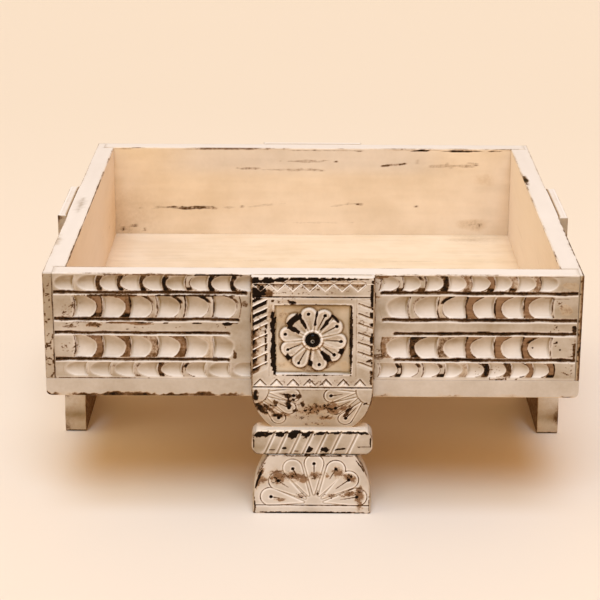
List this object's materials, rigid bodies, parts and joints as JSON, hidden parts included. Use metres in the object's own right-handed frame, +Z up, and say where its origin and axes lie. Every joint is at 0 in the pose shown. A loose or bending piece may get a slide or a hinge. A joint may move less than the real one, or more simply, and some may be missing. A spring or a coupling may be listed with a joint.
{
  "type": "low table",
  "caption": "Low square tray table: a shallow open box on a carved leg board halved over the middle of each side, with gouge-cut rows on the walls and a domed stud in each rosette.",
  "frame": {"origin": "on the floor under the middle of the table", "axes": "+Z up, the front leg and wall face -Y, +X to the right when seen from the front"},
  "size_m": [0.4222, 0.4222, 0.1895],
  "materials": {
    "painted_carving": "chalky white paint rubbed back to brown wood on the raised edges, with dark stain left in the cuts",
    "painted_tray": "smooth cream paint with long faint brush streaks and small scuffs",
    "bare_wood": "bare turned hardwood",
    "nail_steel": "dull drawn steel",
    "black_stud": "glossy black enamel"
  },
  "bodies": {
    "root": {"base_plank_1": "painted_tray", "base_plank_2": "painted_tray", "base_plank_3": "painted_tray", "base_plank_4": "painted_tray", "front_wall": "painted_carving", "back_wall": "painted_carving", "left_wall": "painted_carving", "right_wall": "painted_carving", "front_leg": "painted_carving", "back_leg": "painted_carving", "left_leg": "painted_carving", "right_leg": "painted_carving", "front_stud": "black_stud", "back_stud": "black_stud", "left_stud": "black_stud", "right_stud": "black_stud", "front_dowel_1": "bare_wood", "front_dowel_2": "bare_wood", "back_dowel_1": "bare_wood", "back_dowel_2": "bare_wood", "left_dowel_1": "bare_wood", "left_dowel_2": "bare_wood", "right_dowel_1": "bare_wood", "right_dowel_2": "bare_wood", "corner_nail_left_front_upper": "nail_steel", "corner_nail_left_front_lower": "nail_steel", "corner_nail_left_back_upper": "nail_steel", "corner_nail_left_back_lower": "nail_steel", "corner_nail_right_front_upper": "nail_steel", "corner_nail_right_front_lower": "nail_steel", "corner_nail_right_back_upper": "nail_steel", "corner_nail_right_back_lower": "nail_steel", "base_nail_left_1": "nail_steel", "base_nail_left_2": "nail_steel", "base_nail_left_3": "nail_steel", "base_nail_left_4": "nail_steel", "base_nail_right_1": "nail_steel", "base_nail_right_2": "nail_steel", "base_nail_right_3": "nail_steel", "base_nail_right_4": "nail_steel", "base_nail_front_left": "nail_steel", "base_nail_front_right": "nail_steel", "base_nail_back_left": "nail_steel", "base_nail_back_right": "nail_steel"}
  },
  "joints": []
}
